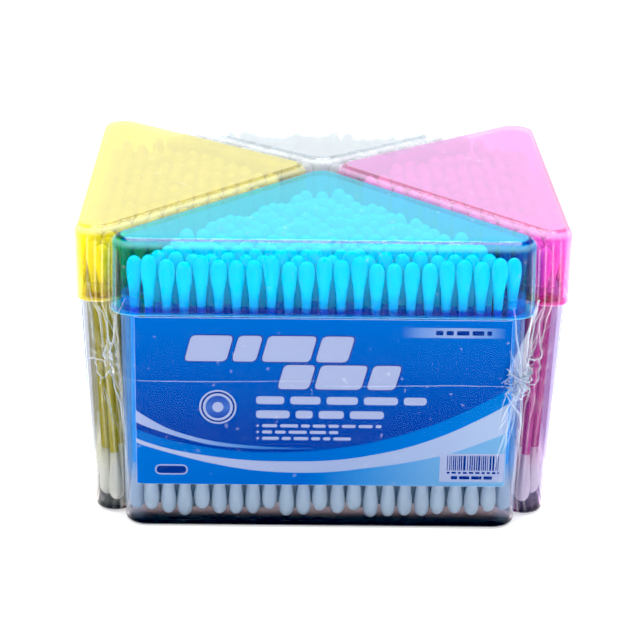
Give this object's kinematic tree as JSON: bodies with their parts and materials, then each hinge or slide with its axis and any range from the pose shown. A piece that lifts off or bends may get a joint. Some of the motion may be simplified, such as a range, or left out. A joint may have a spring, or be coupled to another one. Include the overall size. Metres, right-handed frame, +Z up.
{
  "type": "cotton swab box pack",
  "caption": "Square retail pack of triangular clear cotton swab boxes with tinted push-on lids, full of swabs and held together by shrink film.",
  "frame": {"origin": "middle of the pack's footprint, on the surface that it stands on", "axes": "+Z up, -Y towards the front (the blue-lidded box), +X to the right as seen from the front"},
  "size_m": [0.1352, 0.1352, 0.0871],
  "materials": {
    "front_lid_plastic": "clear tinted blue moulded plastic, polished",
    "right_lid_plastic": "clear tinted pink moulded plastic, polished",
    "back_lid_plastic": "clear tinted colourless moulded plastic, polished",
    "left_lid_plastic": "clear tinted yellow moulded plastic, polished",
    "front_stick_plastic": "extruded plastic tube",
    "right_stick_plastic": "extruded plastic tube",
    "back_stick_plastic": "extruded plastic tube",
    "left_stick_plastic": "extruded plastic tube",
    "tray_plastic": "clear moulded plastic, polished",
    "cotton": "wound cotton, matt",
    "label_print": "coated label, printed in blue bands",
    "film": "clear heat-shrunk film, glossy"
  },
  "bodies": {
    "root": {"front_tray": "tray_plastic", "front_lid": "front_lid_plastic", "front_label": "label_print", "front_swab_sticks": "front_stick_plastic", "front_lower_tips": "cotton", "front_upper_tips": "cotton", "right_tray": "tray_plastic", "right_lid": "right_lid_plastic", "right_label": "label_print", "right_swab_sticks": "right_stick_plastic", "right_lower_tips": "cotton", "right_upper_tips": "cotton", "back_tray": "tray_plastic", "back_lid": "back_lid_plastic", "back_label": "label_print", "back_swab_sticks": "back_stick_plastic", "back_lower_tips": "cotton", "back_upper_tips": "cotton", "left_tray": "tray_plastic", "left_lid": "left_lid_plastic", "left_label": "label_print", "left_swab_sticks": "left_stick_plastic", "left_lower_tips": "cotton", "left_upper_tips": "cotton", "shrink_film": "film"}
  },
  "joints": []
}
